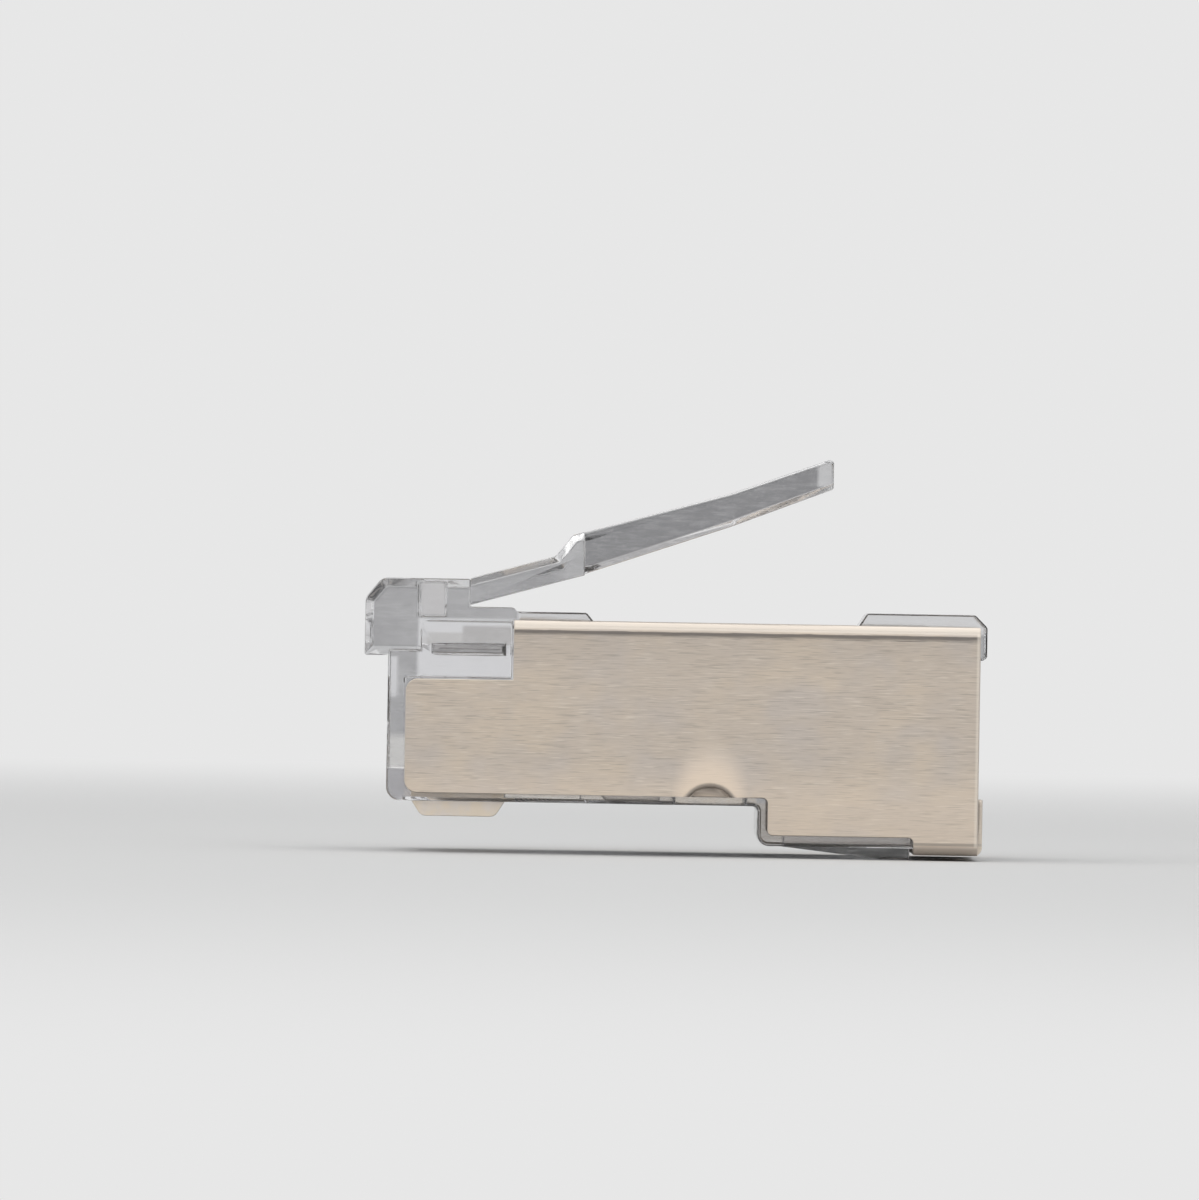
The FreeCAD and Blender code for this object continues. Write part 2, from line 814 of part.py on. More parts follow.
def cut_top_windows(body):
    """Windows in the top wall, round the latch's ledge and rib and round the cable-end pad."""
    above = roof + MARGIN
    depth = size.sheet + size.sheet_bend + MARGIN
    front_half = size.nose_width / 2 + size.cutout_gap
    front = new_sketch(body, "Front_window_outline", "XY_Plane", above)
    outline(front, [
        (size.corner_cut_rear - MARGIN, -front_half),
        (size.rib_rear + size.cutout_gap, -front_half, size.cutout_radius),
        (size.rib_rear + size.cutout_gap, front_half, size.cutout_radius),
        (size.corner_cut_rear - MARGIN, front_half),
    ])
    pocket(body, "Front_window", front, depth, symmetric=False)
    rear_half = size.pad_width / 2 + size.cutout_gap
    past = size.body_length + size.shield_overhang + MARGIN
    rear = new_sketch(body, "Rear_window_outline", "XY_Plane", above)
    outline(rear, [
        (past, rear_half),
        (size.pad_front - size.cutout_gap, rear_half, size.cutout_radius),
        (size.pad_front - size.cutout_gap, -rear_half, size.cutout_radius),
        (past, -rear_half),
    ])
    pocket(body, "Rear_window", rear, depth, symmetric=False)


def fold_tabs(body):
    """Tabs on the lower straps, folded up against the housing's rear face."""
    inside = size.body_length + size.sheet_gap
    outside = inside + size.sheet
    low = belly - cover
    root = (size.strap_front + size.body_length) / 2
    inner_bend = size.tab_bend - size.sheet
    sketch = new_sketch(body, "Tab_outline", "XZ_Plane", -size.tab_inner)
    outline(sketch, [
        (root, low),
        (outside, low, size.tab_bend),
        (outside, low + size.tab_height),
        (inside, low + size.tab_height),
        (inside, low + size.sheet, inner_bend),
        (root, low + size.sheet),
    ])
    tab = pad(body, "Tab", sketch, size.tab_width, symmetric=False, reverse=True)
    mirror(body, "Tabs", [tab])


def build_shield():
    body = new_body("shield")
    blank = new_sketch(body, "Sleeve_outline", "YZ_Plane", size.shield_front)
    outline(blank, sleeve_corners())
    length = size.body_length + size.shield_overhang - size.shield_front
    pad(body, "Sleeve", blank, length, symmetric=False)
    press_dents(body)
    trim_shield(body)
    cut_top_windows(body)
    fold_tabs(body)
    return body


# Build, check and write ------------------------------------------------------------------------

def check(parts):
    """Stops if any object failed or any sub-part isn't one sound solid."""
    for item in doc.Objects:
        if any(word in item.State for word in ("Invalid", "Error")):
            raise RuntimeError(f"{item.Name} ({item.Label}) failed: {item.State}")
    for part in parts:
        shape = part.Shape
        if shape.isNull() or not shape.isValid() or len(shape.Solids) != 1:
            raise RuntimeError(f"{part.Label} isn't one valid solid")


def write(parts):
    os.makedirs("parts", exist_ok=True)
    for part in parts:
        part.Shape.exportStep(os.path.join("parts", f"{part.Label}.step"))
        print(f"{part.Label}: {part.Shape.Volume:.3f} mm3, {len(part.Shape.Faces)} faces")


parts = [build_housing(), build_latch(), build_shield()]
parts += [build_contact(number) for number in range(1, CONTACT_COUNT + 1)]
doc.recompute()
check(parts)
write(parts)
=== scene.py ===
"""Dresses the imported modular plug: clear moulding, folded sheet shield and gold-faced contacts.

The classes give their sizes in millimetres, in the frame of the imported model: X from the mating
face to the cable end, Y across, Z up towards the latch. Meshes are worked on in millimetres and
scaled to metres as they are handed over.
"""
import logging
import math
from dataclasses import dataclass
from enum import Enum
from typing import Any, Optional, Union

import bmesh
import bpy
from mathutils import Matrix, Vector
from mathutils.bvhtree import BVHTree


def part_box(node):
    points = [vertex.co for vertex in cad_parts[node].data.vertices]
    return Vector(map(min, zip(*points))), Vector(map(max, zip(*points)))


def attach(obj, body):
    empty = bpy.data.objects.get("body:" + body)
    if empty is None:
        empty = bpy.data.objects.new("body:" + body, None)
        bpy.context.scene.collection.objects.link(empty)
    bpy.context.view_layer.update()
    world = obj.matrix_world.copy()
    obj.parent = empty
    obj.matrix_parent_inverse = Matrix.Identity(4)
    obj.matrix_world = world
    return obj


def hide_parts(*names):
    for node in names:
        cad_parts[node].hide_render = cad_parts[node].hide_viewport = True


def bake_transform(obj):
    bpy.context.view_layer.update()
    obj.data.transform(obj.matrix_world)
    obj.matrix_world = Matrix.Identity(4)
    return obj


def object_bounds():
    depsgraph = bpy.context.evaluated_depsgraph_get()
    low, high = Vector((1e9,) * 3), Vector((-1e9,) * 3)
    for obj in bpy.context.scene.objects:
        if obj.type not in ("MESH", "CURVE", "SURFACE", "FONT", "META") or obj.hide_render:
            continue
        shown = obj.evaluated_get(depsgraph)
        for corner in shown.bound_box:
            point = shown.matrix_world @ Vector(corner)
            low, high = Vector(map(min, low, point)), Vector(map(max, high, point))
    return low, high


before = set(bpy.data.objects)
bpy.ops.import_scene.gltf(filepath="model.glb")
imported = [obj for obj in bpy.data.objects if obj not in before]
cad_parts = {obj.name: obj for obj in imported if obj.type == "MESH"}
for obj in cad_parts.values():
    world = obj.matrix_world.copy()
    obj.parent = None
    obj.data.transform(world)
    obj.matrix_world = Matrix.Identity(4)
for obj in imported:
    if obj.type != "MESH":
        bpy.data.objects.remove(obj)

Point = tuple[float, float, float]
Colour = tuple[float, float, float]
Span = tuple[float, float]    # from one value to another
Pair = tuple[float, float]    # two values of any other kind

MM = 0.001                # one millimetre in the scene's metres
CAD_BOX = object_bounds()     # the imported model's box, before anything is dressed
LIGHT_BOUNCES = 32        # enough to see through the walls between all eight contact slots

REST_PLACE = "rest_place"           # point attribute: place on the part at rest
CORNER = "corner"                   # point attribute: corner that a rounded point comes from
EDGE_WEIGHT = "bevel_weight_edge"   # edge attribute: share of the full radius

MERGE_DISTANCE = 1e-4     # packed points closer than this are one point
FLAT_ANGLE = 0.6          # degrees between faces that count as one flat area
LONG_EDGE = 0.6           # longer sharp edges are split, so that easing one end leaves the rest
EDGE_END = 0.2            # the length split off at each end
ROUNDING_ATTEMPTS = 8
EASING = (0.5, 0.5, 0.5, 0.0)   # what the weights are multiplied by after each attempt
STRAY_REACH = 3.0         # no rounded point lies farther from its corner than this many radii
TINY_FACE = 1e-6          # faces below this area, in square millimetres, have no side to judge
CROSSING = 1e-12          # outlines that cross by less than this only touch
FLAT_FACE_WEIGHT = 100    # how far large faces rule the shading of the rounded edges beside them

WARM_WHITE: Colour = (1.0, 0.985, 0.96)
COOL_WHITE: Colour = (0.98, 0.99, 1.0)

log = logging.getLogger("plug")


# Shader graphs --------------------------------------------------------------------------------

class Signal:
    """A node's output that joins into expressions through Python's operators."""

    def __init__(self, graph: "Graph", socket: bpy.types.NodeSocket) -> None:
        """Keeps the socket together with the graph that it belongs to."""
        self.graph = graph
        self.socket = socket

    def _math(self, operation: str, first: Any, second: Any) -> "Signal":
        """Adds a Math node on two values."""
        settings = {"operation": operation}
        return self.graph.add("ShaderNodeMath", settings, {0: first, 1: second})["Value"]

    def __add__(self, other: Any) -> "Signal":
        """Sum."""
        return self._math("ADD", self, other)

    __radd__ = __add__

    def __sub__(self, other: Any) -> "Signal":
        """Difference."""
        return self._math("SUBTRACT", self, other)

    def __rsub__(self, other: Any) -> "Signal":
        """Difference the other way round, so that 1 - mask works."""
        return self._math("SUBTRACT", other, self)

    def __mul__(self, other: Any) -> "Signal":
        """Product."""
        return self._math("MULTIPLY", self, other)

    __rmul__ = __mul__

    def __truediv__(self, other: Any) -> "Signal":
        """Quotient."""
        return self._math("DIVIDE", self, other)

    def __rtruediv__(self, other: Any) -> "Signal":
        """Quotient the other way round."""
        return self._math("DIVIDE", other, self)

    def __pow__(self, other: Any) -> "Signal":
        """Power."""
        return self._math("POWER", self, other)

    def __rpow__(self, other: Any) -> "Signal":
        """Power the other way round."""
        return self._math("POWER", other, self)

    def size(self) -> "Signal":
        """The value without its sign."""
        return self._math("ABSOLUTE", self, 0.0)

    def larger(self, other: Any) -> "Signal":
        """The larger of two values."""
        return self._math("MAXIMUM", self, other)

    def above(self, low: float, high: float) -> "Signal":
        """Rises smoothly from 0 at low to 1 at high.

        Args:
            low: Value where the result leaves 0.
            high: Value where the result reaches 1.

        Returns:
            The eased mask.
        """
        settings = {"interpolation_type": "SMOOTHSTEP"}
        sockets = {"Value": self, "From Min": low, "From Max": high}
        return self.graph.add("ShaderNodeMapRange", settings, sockets)["Result"]

    def between(self, low: float, high: float, soft: float) -> "Signal":
        """1 between two values, fading to 0 over the soft distance outside them."""
        return self.above(low - soft, low) * (1 - self.above(high, high + soft))


class Placed:
    """A node in a graph, read by the names of its outputs."""

    def __init__(self, graph: "Graph", node: bpy.types.Node) -> None:
        """Keeps the node."""
        self.graph = graph
        self.node = node

    def __getitem__(self, output: Union[str, int]) -> Signal:
        """The output of that name or number."""
        return Signal(self.graph, self.node.outputs[output])


class Graph:
    """The node graph of one material or world."""

    # How squarely a surface faces one way, from where its mask leaves 0 to where it reaches 1.
    FLANK_FACING: Span = (0.80, 0.97)
    WALL_FACING: Span = (0.93, 0.995)
    FLOOR_FACING: Span = (0.06, 0.46)

    def __init__(self, tree: bpy.types.NodeTree) -> None:
        """Empties the tree.

        Args:
            tree: Node tree to build in.
        """
        self.tree = tree
        tree.nodes.clear()

    def add(self, kind: str, settings: Optional[dict[str, Any]] = None,
            sockets: Optional[dict[Union[str, int], Any]] = None) -> Placed:
        """Adds a node.

        Args:
            kind: Node type.
            settings: Properties to set first.
            sockets: Value or link for each input, by name or number.

        Returns:
            The node, ready to read.
        """
        node = self.tree.nodes.new(kind)
        for name, value in (settings or {}).items():
            setattr(node, name, value)
        for name, value in (sockets or {}).items():
            if isinstance(value, Signal):
                self.tree.links.new(value.socket, node.inputs[name])
            else:
                node.inputs[name].default_value = value
        return Placed(self, node)

    def place(self) -> Signal:
        """Position on the part at rest, in millimetres, which a piece keeps when it moves."""
        return self.add("ShaderNodeAttribute", {"attribute_name": REST_PLACE})["Vector"]

    def room_place(self) -> Signal:
        """Position in the room.

        Returns:
            The position, in millimetres.
        """
        here = self.add("ShaderNodeTexCoord")["Object"]
        settings = {"operation": "SCALE"}
        return self.add("ShaderNodeVectorMath", settings, {0: here, "Scale": 1 / MM})["Vector"]

    def axes(self, vector: Signal) -> tuple[Signal, Signal, Signal]:
        """The three parts of a vector."""
        split = self.add("ShaderNodeSeparateXYZ", None, {0: vector})
        return split["X"], split["Y"], split["Z"]

    def stretch(self, vector: Signal, by: Point) -> Signal:
        """A vector with each part multiplied by its own factor."""
        settings = {"operation": "MULTIPLY"}
        return self.add("ShaderNodeVectorMath", settings, {0: vector, 1: by})["Vector"]

    def normal(self) -> Signal:
        """The surface's normal in the room."""
        return self.add("ShaderNodeNewGeometry")["Normal"]

    def facing(self) -> tuple[Signal, Signal, Signal]:
        """How squarely the surface faces along the plug, across it and up or down, from 0 to 1."""
        along, sideways, up = self.axes(self.normal())
        return along.size(), sideways.size(), up.size()

    def across(self) -> Signal:
        """1 on surfaces that face a flank, falling to 0 on all others."""
        return self.facing()[1].above(*self.FLANK_FACING)

    def edges(self) -> Signal:
        """1 on rounded edges and bends, 0 on flat walls."""
        along, sideways, up = self.facing()
        return 1 - along.larger(sideways).larger(up).above(*self.WALL_FACING)

    def downward(self) -> Signal:
        """1 on surfaces that face the floor, 0 on all others."""
        _, _, up = self.axes(self.normal())
        return (0 - up).above(*self.FLOOR_FACING)

    def noise(self, vector: Signal, grain: "Grain") -> Signal:
        """Soft noise around one half.

        Args:
            vector: Where to read it.
            grain: The noise's cells.

        Returns:
            The noise value.
        """
        if grain.stretch is not None:
            vector = self.stretch(vector, grain.stretch)
        sockets = {"Vector": vector, "Scale": grain.scale, "Detail": grain.detail,
                   "Roughness": grain.rough}
        return self.add("ShaderNodeTexNoise", None, sockets)[0]

    def mix(self, factor: Any, first: Any, second: Any) -> Signal:
        """Mixes two colours.

        Args:
            factor: 0 gives the first and 1 the second.
            first: Colour or link.
            second: Colour or link.

        Returns:
            The mixed colour.
        """
        def colour(value: Any) -> Any:
            """A plain colour gets its fourth channel."""
            return value if isinstance(value, Signal) else (*value, 1.0)

        sockets = {0: factor, 6: colour(first), 7: colour(second)}
        return self.add("ShaderNodeMix", {"data_type": "RGBA"}, sockets)[2]

    def bump(self, height: Signal, depth: float) -> Signal:
        """Turns a height into a normal.

        Args:
            height: Height from 0 to 1.
            depth: What a height of 1 stands for, in millimetres.

        Returns:
            The bent normal.
        """
        sockets = {"Height": height, "Distance": depth * MM, "Strength": 1.0}
        return self.add("ShaderNodeBump", None, sockets)["Normal"]

    def blend(self, factor: Signal, first: Signal, second: Signal) -> Signal:
        """Mixes two shaders: 0 gives the first and 1 the second."""
        return self.add("ShaderNodeMixShader", None, {0: factor, 1: first, 2: second})[0]

    def surface(self, shader: Signal) -> None:
        """Ends the graph in a material output."""
        self.add("ShaderNodeOutputMaterial", None, {"Surface": shader})


def new_material(name: str) -> tuple[bpy.types.Material, Graph]:
    """Makes an empty material.

    Args:
        name: Name of the material.

    Returns:
        The material and its graph.
    """
    material = bpy.data.materials.new(name)
    material.use_nodes = True
    return material, Graph(material.node_tree)


# Finishes -------------------------------------------------------------------------------------

@dataclass(frozen=True)
class Grain:
    """A noise pattern: how often it repeats along each axis, and how fine it is."""

    scale: float
    detail: float = 3.0
    rough: float = 0.5
    stretch: Optional[Point] = None


class Slot(Enum):
    """Material slots of the record."""

    CLEAR = "clear_plastic"
    SHEET = "plated_sheet"
    GOLD = "gold_contact"


@dataclass(frozen=True)
class Zone:
    """A stretch of the moulding, seen from the flank, whose thickness gives it its own tone: the light, shade
    and reflections seen through it, painted into the colour.
    """

    along: Span
    height: Span
    tone: Colour
    soft: float = 0.03

    def mask(self, along: Signal, height: Signal) -> Signal:
        """1 inside the zone."""
        return along.between(*self.along, self.soft) * height.between(*self.height, self.soft)


@dataclass(frozen=True)
class ClearPlastic:
    """Clear polycarbonate with flow marks, painted with shade on the flanks and left bright on the edges.

    Walls inside the moulding stay clear: those nearer the middle than inner_half, between the
    levels where the outside narrows again.
    """

    name: str = "clear_polycarbonate"
    # The first two colours are painted shade for the flanks, clouded at random.
    smoke: Colour = (0.38, 0.38, 0.39)
    cloud: Colour = (0.46, 0.46, 0.47)
    edge: Colour = (0.96, 0.96, 0.97)
    index: float = 1.586
    clarity: float = 0.97
    roughness: float = 0.03
    haze: float = 0.20
    scratch_depth: float = 0.0013
    shadow_tint: Colour = (0.80, 0.80, 0.82)
    speckle: float = 0.0
    inner_half: float = 4.5
    inner_levels: Span = (-4.62, 1.92)
    half_fade: float = 0.1
    level_fade: float = 0.02
    clouds: Grain = Grain(scale=0.8)
    cloud_range: Span = (0.35, 0.70)
    flow: Grain = Grain(scale=1.6, detail=4.0, rough=0.6, stretch=(0.7, 2.4, 3.0))
    scratches: Grain = Grain(scale=1.3, detail=5.0, rough=0.65, stretch=(1.1, 9.0, 14.0))
    worn_shares: Pair = (0.6, 0.4)
    worn_range: Span = (0.46, 0.66)
    worn_light: float = 0.22
    relief_shares: Pair = (0.7, 0.3)
    specks: Grain = Grain(scale=1.9, detail=5.0, rough=0.7, stretch=(2.6, 2.6, 4.2))
    speck_range: Span = (0.56, 0.66)
    zones: tuple[Zone, ...] = ()

    def _flank(self, graph: Graph, place: Signal) -> Signal:
        """1 on the outer flanks, which take the painted shade, 0 on the walls inside and on every other face.

        Args:
            graph: Graph to build in.
            place: Place on the part.

        Returns:
            The mask.
        """
        _, sideways, height = graph.axes(place)
        low, high = self.inner_levels
        outer = sideways.size().above(self.inner_half - self.half_fade, self.inner_half)
        over = height.above(high, high + self.level_fade)
        under = 1 - height.above(low, low + self.level_fade)
        return outer.larger(over).larger(under) * graph.across()

    def make(self) -> bpy.types.Material:
        """Builds the plastic's material.

        Returns:
            The material.
        """
        material, graph = new_material(self.name)
        place = graph.place()
        along, _, height = graph.axes(place)
        cloud = graph.noise(place, self.clouds)
        flow = graph.noise(place, self.flow)
        scratch = graph.noise(place, self.scratches)
        worn = flow * self.worn_shares[0] + scratch * self.worn_shares[1]
        worn = worn.above(*self.worn_range)
        # Painted shade for the flanks, clouded at random, with the zones' painted light and shade laid over
        # it.
        tone = graph.mix(cloud.above(*self.cloud_range), self.smoke, self.cloud)
        for zone in self.zones:
            tone = graph.mix(zone.mask(along, height), tone, zone.tone)
        tone = graph.mix(worn * self.worn_light, tone, self.edge)
        if self.speckle:
            specks = graph.noise(place, self.specks).above(*self.speck_range)
            tone = graph.mix(specks * self.speckle, tone, self.edge)
        relief = flow * self.relief_shares[0] + scratch * self.relief_shares[1]
        plastic = graph.add("ShaderNodeBsdfPrincipled", None, {
            "Base Color": graph.mix(self._flank(graph, place), self.edge, tone),
            "Roughness": worn * (self.haze - self.roughness) + self.roughness,
            "Transmission Weight": self.clarity,
            "IOR": self.index,
            "Normal": graph.bump(relief, self.scratch_depth),
        })
        through = graph.add("ShaderNodeBsdfTransparent", None, {"Color": (*self.shadow_tint, 1.0)})
        shadow = graph.add("ShaderNodeLightPath")["Is Shadow Ray"]
        graph.surface(graph.blend(shadow, plastic[0], through[0]))
        return material


@dataclass(frozen=True)
class BrushedSheet:
    """Plated copper-alloy sheet with a fine grain along the plug."""

    name: str = "plated_sheet"
    warm: Colour = (0.664, 0.572, 0.475)
    mid: Colour = (0.621, 0.543, 0.467)
    cool: Colour = (0.603, 0.539, 0.485)
    dark: Colour = (0.30, 0.26, 0.225)
    light: Colour = (0.86, 0.79, 0.70)
    # The colours below are painted light and shade: shade along the folds, on faces turned to the floor and
    # inside the dent, and highlights on the edges and round the dent.
    fold_dark: Colour = (0.17, 0.155, 0.145)
    underside: Colour = (0.44, 0.375, 0.32)
    underside_share: float = 0.7
    rim: Colour = (0.76, 0.69, 0.615)
    rim_share: float = 0.85
    burnish: Colour = (1.0, 0.835, 0.67)
    bowl: Colour = (0.33, 0.28, 0.24)

    grain: Grain = Grain(scale=1.0, rough=0.6, stretch=(1.1, 30.0, 30.0))
    grain_range: Span = (0.45, 0.68)
    grain_dark: float = 0.18
    dashes: Grain = Grain(scale=1.0, detail=1.0, stretch=(1.15, 27.0, 27.0))
    dash_range: Span = (0.58, 0.70)
    dash_dark: float = 0.32
    gleams: Grain = Grain(scale=1.1, detail=1.0, stretch=(1.2, 29.0, 29.0))
    gleam_range: Span = (0.58, 0.72)
    gleam_light: float = 0.34
    patches: Grain = Grain(scale=0.42, detail=2.0)
    patch_range: Span = (0.38, 0.64)
    tints: Grain = Grain(scale=0.9, stretch=(0.5, 0.9, 0.9))
    tint_range: Span = (0.35, 0.65)

    # Where the painted shade and highlights lie on the flank, in millimetres, and how strong they are.
    fold_line: float = 2.90
    fold_fade: float = 0.22
    fold_wave: float = 0.10
    fold_inside: float = 0.02
    fold_outside: Span = (0.03, 0.08)
    fold_power: float = 1.6
    fold_share: float = 0.85
    shade_start: float = 1.2
    shade_share: float = 0.08
    smudge: Span = (2.76, 2.91)
    smudge_soft: float = 0.05
    smudge_along: Span = (6.0, 19.0)
    smudge_range: Span = (0.34, 0.58)
    smudge_share: float = 0.55
    low_fold: Span = (-4.60, -4.54)
    low_fold_soft: float = 0.04
    strap_start: Span = (19.00, 19.15)
    rear_edge: Span = (21.26, 21.34)
    line_share: float = 0.5

    dent: Pair = (11.72, -3.60)
    burnish_form: Pair = (0.85, 1.35)
    burnish_reach: Span = (1.00, 2.15)
    burnish_share: float = 0.65
    foot_levels: Span = (-3.2, -1.6)
    foot_share: float = 0.22
    sunk_depth: Span = (5.50, 5.60)
    bowl_edge: Span = (1.10, 1.25)
    bowl_fade: Span = (0.35, 1.0)

    roughness: float = 0.30
    roughness_spread: float = 0.16
    anisotropy: float = 0.45
    relief_shares: Pair = (0.6, 0.4)
    grain_depth: float = 0.0016

    def _grained(self, graph: Graph, place: Signal, fine: Signal, dash: Signal) -> Signal:
        """Colour of the plain sheet: slow patches under dark and light strokes of the grain.

        Args:
            graph: Graph to build in.
            place: Place on the part.
            fine: The grain's noise.
            dash: The dark strokes' noise.

        Returns:
            The colour.
        """
        gleam = graph.noise(place, self.gleams).above(*self.gleam_range)
        patch = graph.noise(place, self.patches).above(*self.patch_range)
        tint = graph.noise(place, self.tints).above(*self.tint_range)
        strokes = dash.above(*self.dash_range) * self.dash_dark
        strokes = strokes + fine.above(*self.grain_range) * self.grain_dark
        tone = graph.mix(patch, self.cool, self.warm)
        tone = graph.mix(tint, tone, self.mid)
        tone = graph.mix(strokes, tone, self.dark)
        return graph.mix(gleam * self.gleam_light, tone, self.light)

    def _fold(self, along: Signal, height: Signal, fine: Signal) -> Signal:
        """Painted shade on the flank below its upper fold, towards the rear most of all: a dark line along the
        fold, a darkening towards the top and dark streaks just under the fold.

        Args:
            along: Place along the plug.
            height: Height on the part.
            fine: The grain's noise, which roughens the line.

        Returns:
            The mask.
        """
        level = height + (fine - 0.5) * self.fold_wave
        crease = level.above(self.fold_line - self.fold_fade, self.fold_line - self.fold_inside)
        past = level.above(*(self.fold_line + reach for reach in self.fold_outside))
        crease = crease ** self.fold_power * (1 - past) * self.fold_share
        shade = height.above(self.shade_start, self.fold_line) * self.shade_share
        smudge = height.between(*self.smudge, self.smudge_soft) * along.above(*self.smudge_along)
        smudge = smudge * fine.above(*self.smudge_range) * self.smudge_share
        return crease.larger(shade).larger(smudge)

    def _burnished(self, along: Signal, height: Signal) -> Signal:
        """Painted highlight on the flank round the dent, and lighter towards its foot.

        Args:
            along: Place along the plug.
            height: Height on the part.

        Returns:
            The mask.
        """
        wide, tall = self.burnish_form
        off_along = (along - self.dent[0]) / wide
        off_height = (height - self.dent[1]) / tall
        away = (off_along ** 2.0 + off_height ** 2.0) ** 0.5
        dent_glow = (1 - away.above(*self.burnish_reach)) * self.burnish_share
        foot = 1 - height.above(*self.foot_levels)
        return dent_glow.larger(foot * self.foot_share)

    def _bowl(self, along: Signal, sideways: Signal, height: Signal) -> Signal:
        """Painted shade inside the dent, from its middle to its edge.

        Args:
            along: Place along the plug.
            sideways: Place across the plug.
            height: Height on the part.

        Returns:
            The mask.
        """
        away = ((along - self.dent[0]) ** 2.0 + (height - self.dent[1]) ** 2.0) ** 0.5
        sunk = 1 - sideways.size().above(*self.sunk_depth)
        return sunk * (1 - away.above(*self.bowl_edge)) * away.above(*self.bowl_fade)

    def make(self) -> bpy.types.Material:
        """Builds the sheet's material.

        Returns:
            The material.
        """
        material, graph = new_material(self.name)
        place = graph.place()
        along, sideways, height = graph.axes(place)
        fine = graph.noise(place, self.grain)
        dash = graph.noise(place, self.dashes)
        flank = graph.across()
        low_fold_shade = height.between(*self.low_fold, self.low_fold_soft) * along.above(*self.strap_start)
        rear = along.above(*self.rear_edge)
        tone = self._grained(graph, place, fine, dash)
        # Painted shade below the upper fold.
        tone = graph.mix(self._fold(along, height, fine) * flank, tone, self.fold_dark)
        # Painted highlight round the dent and towards the foot of the flank.
        tone = graph.mix(self._burnished(along, height) * flank, tone, self.burnish)
        # Painted shade: a dark line along the lower fold at the back end.
        tone = graph.mix(low_fold_shade * flank * self.line_share, tone, self.fold_dark)
        # Painted highlight: a light line along the rear edge.
        tone = graph.mix(rear * flank * self.line_share, tone, self.light)
        # Painted shade inside the dent.
        tone = graph.mix(self._bowl(along, sideways, height), tone, self.bowl)
        # Painted highlight on rounded edges and bends.
        tone = graph.mix(graph.edges() * self.rim_share, tone, self.rim)
        # Painted shade on faces turned to the floor.
        tone = graph.mix(graph.downward() * self.underside_share, tone, self.underside)
        relief = fine * self.relief_shares[0] + dash * self.relief_shares[1]
        metal = graph.add("ShaderNodeBsdfPrincipled", None, {
            "Base Color": tone,
            "Metallic": 1.0,
            "Roughness": fine * self.roughness_spread + self.roughness,
            "Anisotropic": self.anisotropy,
            "Normal": graph.bump(relief, self.grain_depth),
        })
        graph.surface(metal[0])
        return material


@dataclass(frozen=True)
class ContactGold:
    """Thin gold over nickel on a stamped blade, with shear marks across the sheet."""

    name: str = "contact_gold"
    gold: Colour = (0.80, 0.70, 0.58)
    nickel: Colour = (0.77, 0.70, 0.635)
    shear: Grain = Grain(scale=1.0, rough=0.6, stretch=(9.0, 9.0, 0.8))
    wear: Grain = Grain(scale=1.4)
    wear_range: Span = (0.42, 0.66)
    roughness: float = 0.24
    roughness_spread: float = 0.14
    grain_depth: float = 0.0012

    def make(self) -> bpy.types.Material:
        """Builds the contacts' material.

        Returns:
            The material.
        """
        material, graph = new_material(self.name)
        place = graph.place()
        shear = graph.noise(place, self.shear)
        wear = graph.noise(place, self.wear).above(*self.wear_range)
        metal = graph.add("ShaderNodeBsdfPrincipled", None, {
            "Base Color": graph.mix(wear, self.gold, self.nickel),
            "Metallic": 1.0,
            "Roughness": shear * self.roughness_spread + self.roughness,
            "Normal": graph.bump(shear, self.grain_depth),
        })
        graph.surface(metal[0])
        return material


@dataclass(frozen=True)
class StudioPaper:
    """Matt pale paper under and behind the part."""

    name: str = "studio_paper"
    colour: Colour = (0.80, 0.80, 0.80)
    even: Colour = (0.80, 0.80, 0.80)
    roughness: float = 0.9
    sheen: float = 0.1
    behind: Span = (60.0, 320.0)
    ahead: Span = (60.0, 300.0)

    def make(self) -> bpy.types.Material:
        """Builds the paper's material: lit near the part, evenly pale away from it.

        Returns:
            The material.
        """
        material, graph = new_material(self.name)
        _, depth, _ = graph.axes(graph.room_place())
        paper = graph.add("ShaderNodeBsdfPrincipled", None, {
            "Base Color": (*self.colour, 1.0),
            "Roughness": self.roughness,
            "Specular IOR Level": self.sheen,
        })
        path = graph.add("ShaderNodeLightPath")
        seen = path["Is Camera Ray"] + path["Is Glossy Ray"] + path["Is Transmission Ray"]
        glow = graph.add("ShaderNodeEmission", None, {"Color": (*self.even, 1.0), "Strength": 1.0})
        away = depth.above(*self.behind).larger((0 - depth).above(*self.ahead))
        graph.surface(graph.blend(away * seen.above(0.0, 0.5), paper[0], glow[0]))
        return material


# Meshes ---------------------------------------------------------------------------------------

@dataclass(frozen=True)
class EdgeBreak:
    """How far the sharp edges of a piece are rounded."""

    radius: float
    segments: int = 2
    sharper_than: float = 32.0


def link(name: str, mesh: bpy.types.Mesh) -> bpy.types.Object:
    """Puts a mesh into the scene as an object at the origin.

    Args:
        name: Name of the object.
        mesh: Its mesh.

    Returns:
        The object.
    """
    obj = bpy.data.objects.new(name, mesh)
    bpy.context.scene.collection.objects.link(obj)
    return obj


def read_node(node: str) -> bmesh.types.BMesh:
    """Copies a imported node's mesh, in millimetres, with flat areas as single faces.

    Args:
        node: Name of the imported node.

    Returns:
        The copy, to be freed by whoever finishes it.
    """
    work = bmesh.new()
    work.from_mesh(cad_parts[node].data)
    bmesh.ops.transform(work, matrix=Matrix.Scale(1 / MM, 4), verts=work.verts)
    bmesh.ops.remove_doubles(work, verts=work.verts, dist=MERGE_DISTANCE)
    bmesh.ops.dissolve_limit(work, angle_limit=math.radians(FLAT_ANGLE), verts=work.verts,
                             edges=work.edges, use_dissolve_boundaries=False)
    return work


